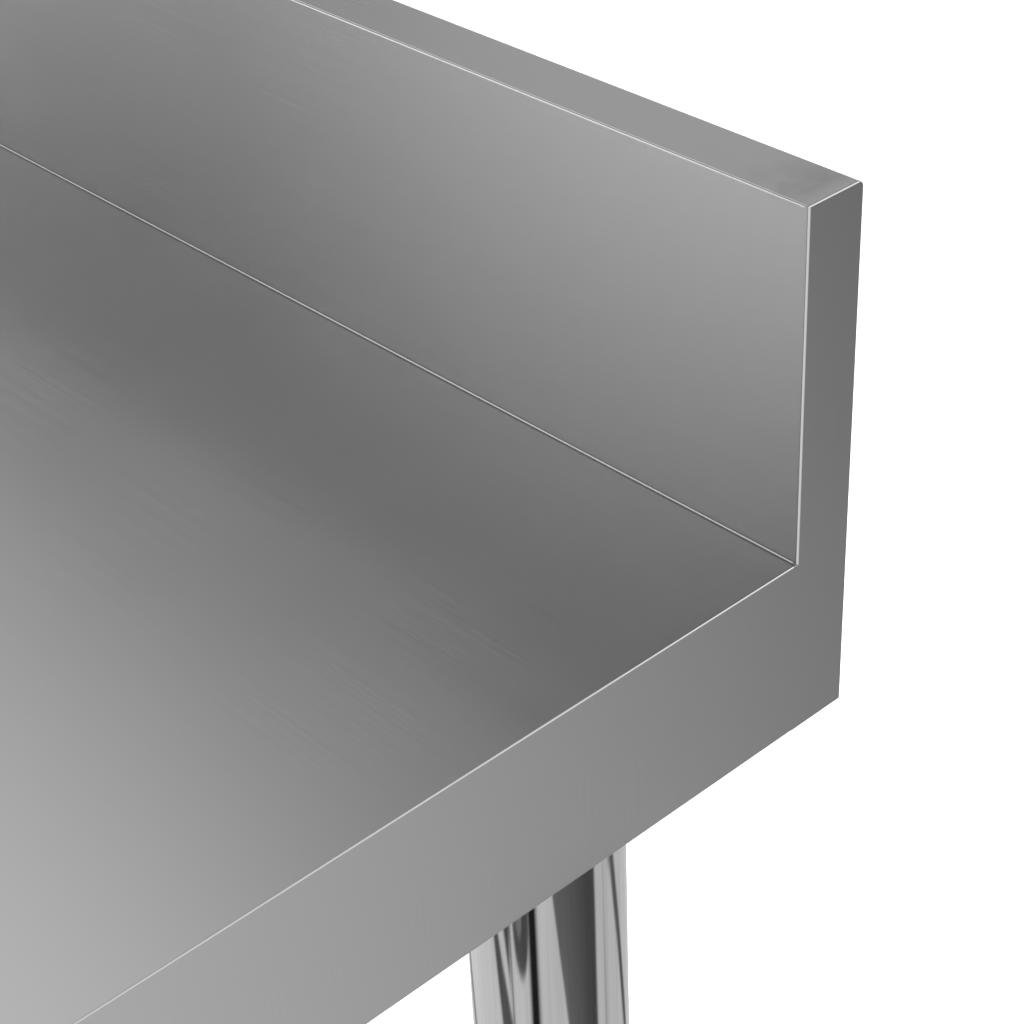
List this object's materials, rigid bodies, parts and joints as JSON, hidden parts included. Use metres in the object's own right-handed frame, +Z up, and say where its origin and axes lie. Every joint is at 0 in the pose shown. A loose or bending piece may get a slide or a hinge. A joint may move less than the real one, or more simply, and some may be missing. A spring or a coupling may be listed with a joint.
{
  "type": "stainless work table",
  "caption": "Rectangular stainless work table with a folded apron, a square upstand along the back, round tubular legs on levelling feet and a height-adjustable undershelf.",
  "frame": {"origin": "on the floor, under the middle of the table", "axes": "+X to the right along the worktop, +Y to the upstand at the back, +Z up"},
  "size_m": [1.22, 0.61, 0.972],
  "materials": {
    "satin_stainless": "fine satin, 0.7 mm polished bends",
    "polished_stainless": "bright drawn tube",
    "galvanised_steel": "galvanised, faint spangle",
    "cast_aluminium": "as cast, tumbled",
    "zinc_plated_steel": "bright zinc plate",
    "black_steel": "black oxide",
    "grey_plastic": "moulded, fine texture",
    "black_nylon": "moulded",
    "glide_nylon": "moulded, scuffed underneath",
    "butyl_pad": "soft, matte"
  },
  "bodies": {
    "table_frame": {"centre_rail": "galvanised_steel", "damping_pads": "butyl_pad", "foot_insert_front_left": "black_nylon", "foot_insert_front_right": "black_nylon", "foot_insert_rear_left": "black_nylon", "foot_insert_rear_right": "black_nylon", "left_cross_channel": "galvanised_steel", "left_end_cap": "satin_stainless", "leg_front_left": "polished_stainless", "leg_front_right": "polished_stainless", "leg_rear_left": "polished_stainless", "leg_rear_right": "polished_stainless", "leg_socket_front_left": "cast_aluminium", "leg_socket_front_right": "cast_aluminium", "leg_socket_rear_left": "cast_aluminium", "leg_socket_rear_right": "cast_aluminium", "rear_panel": "satin_stainless", "right_cross_channel": "galvanised_steel", "right_end_cap": "satin_stainless", "socket_bolts": "zinc_plated_steel", "socket_nuts": "zinc_plated_steel", "socket_set_screws": "black_steel", "worktop_sheet": "satin_stainless"},
    "undershelf": {"shelf_bolts": "zinc_plated_steel", "shelf_bracket_front_left": "cast_aluminium", "shelf_bracket_front_right": "cast_aluminium", "shelf_bracket_rear_left": "cast_aluminium", "shelf_bracket_rear_right": "cast_aluminium", "shelf_nuts": "zinc_plated_steel", "shelf_rail": "galvanised_steel", "shelf_set_screws": "black_steel", "shelf_sheet": "satin_stainless"},
    "glide_fl": {"glide_pad_front_left": "glide_nylon"},
    "foot_fl": {"foot_front_left": "grey_plastic", "foot_stem_front_left": "zinc_plated_steel"},
    "glide_fr": {"glide_pad_front_right": "glide_nylon"},
    "foot_fr": {"foot_front_right": "grey_plastic", "foot_stem_front_right": "zinc_plated_steel"},
    "glide_rr": {"glide_pad_rear_right": "glide_nylon"},
    "foot_rr": {"foot_rear_right": "grey_plastic", "foot_stem_rear_right": "zinc_plated_steel"},
    "glide_rl": {"glide_pad_rear_left": "glide_nylon"},
    "foot_rl": {"foot_rear_left": "grey_plastic", "foot_stem_rear_left": "zinc_plated_steel"}
  },
  "joints": [
    {"name": "shelf_height", "type": "slide", "parent": "table_frame", "child": "undershelf", "axis": [0, 0, 1], "range_m": [-0.12, 0.35]},
    {"name": "foot_fl_travel", "type": "slide", "parent": "table_frame", "child": "glide_fl", "axis": [0, 0, -1], "range_m": [0, 0.025]},
    {"name": "foot_fl_turn", "type": "hinge", "parent": "glide_fl", "child": "foot_fl", "pos_m": [-0.563, -0.258, 0.06], "axis": [0, 0, -1], "range_deg": [0, 6000]},
    {"name": "foot_fr_travel", "type": "slide", "parent": "table_frame", "child": "glide_fr", "axis": [0, 0, -1], "range_m": [0, 0.025]},
    {"name": "foot_fr_turn", "type": "hinge", "parent": "glide_fr", "child": "foot_fr", "pos_m": [0.563, -0.258, 0.06], "axis": [0, 0, -1], "range_deg": [0, 6000]},
    {"name": "foot_rr_travel", "type": "slide", "parent": "table_frame", "child": "glide_rr", "axis": [0, 0, -1], "range_m": [0, 0.025]},
    {"name": "foot_rr_turn", "type": "hinge", "parent": "glide_rr", "child": "foot_rr", "pos_m": [0.563, 0.258, 0.06], "axis": [0, 0, -1], "range_deg": [0, 6000]},
    {"name": "foot_rl_travel", "type": "slide", "parent": "table_frame", "child": "glide_rl", "axis": [0, 0, -1], "range_m": [0, 0.025]},
    {"name": "foot_rl_turn", "type": "hinge", "parent": "glide_rl", "child": "foot_rl", "pos_m": [-0.563, 0.258, 0.06], "axis": [0, 0, -1], "range_deg": [0, 6000]}
  ],
  "couplings": [
    {"joint": "foot_fl_turn", "follows": "foot_fl_travel", "rad_per_m": 4188.8},
    {"joint": "foot_fr_turn", "follows": "foot_fr_travel", "rad_per_m": 4188.8},
    {"joint": "foot_rr_turn", "follows": "foot_rr_travel", "rad_per_m": 4188.8},
    {"joint": "foot_rl_turn", "follows": "foot_rl_travel", "rad_per_m": 4188.8}
  ]
}
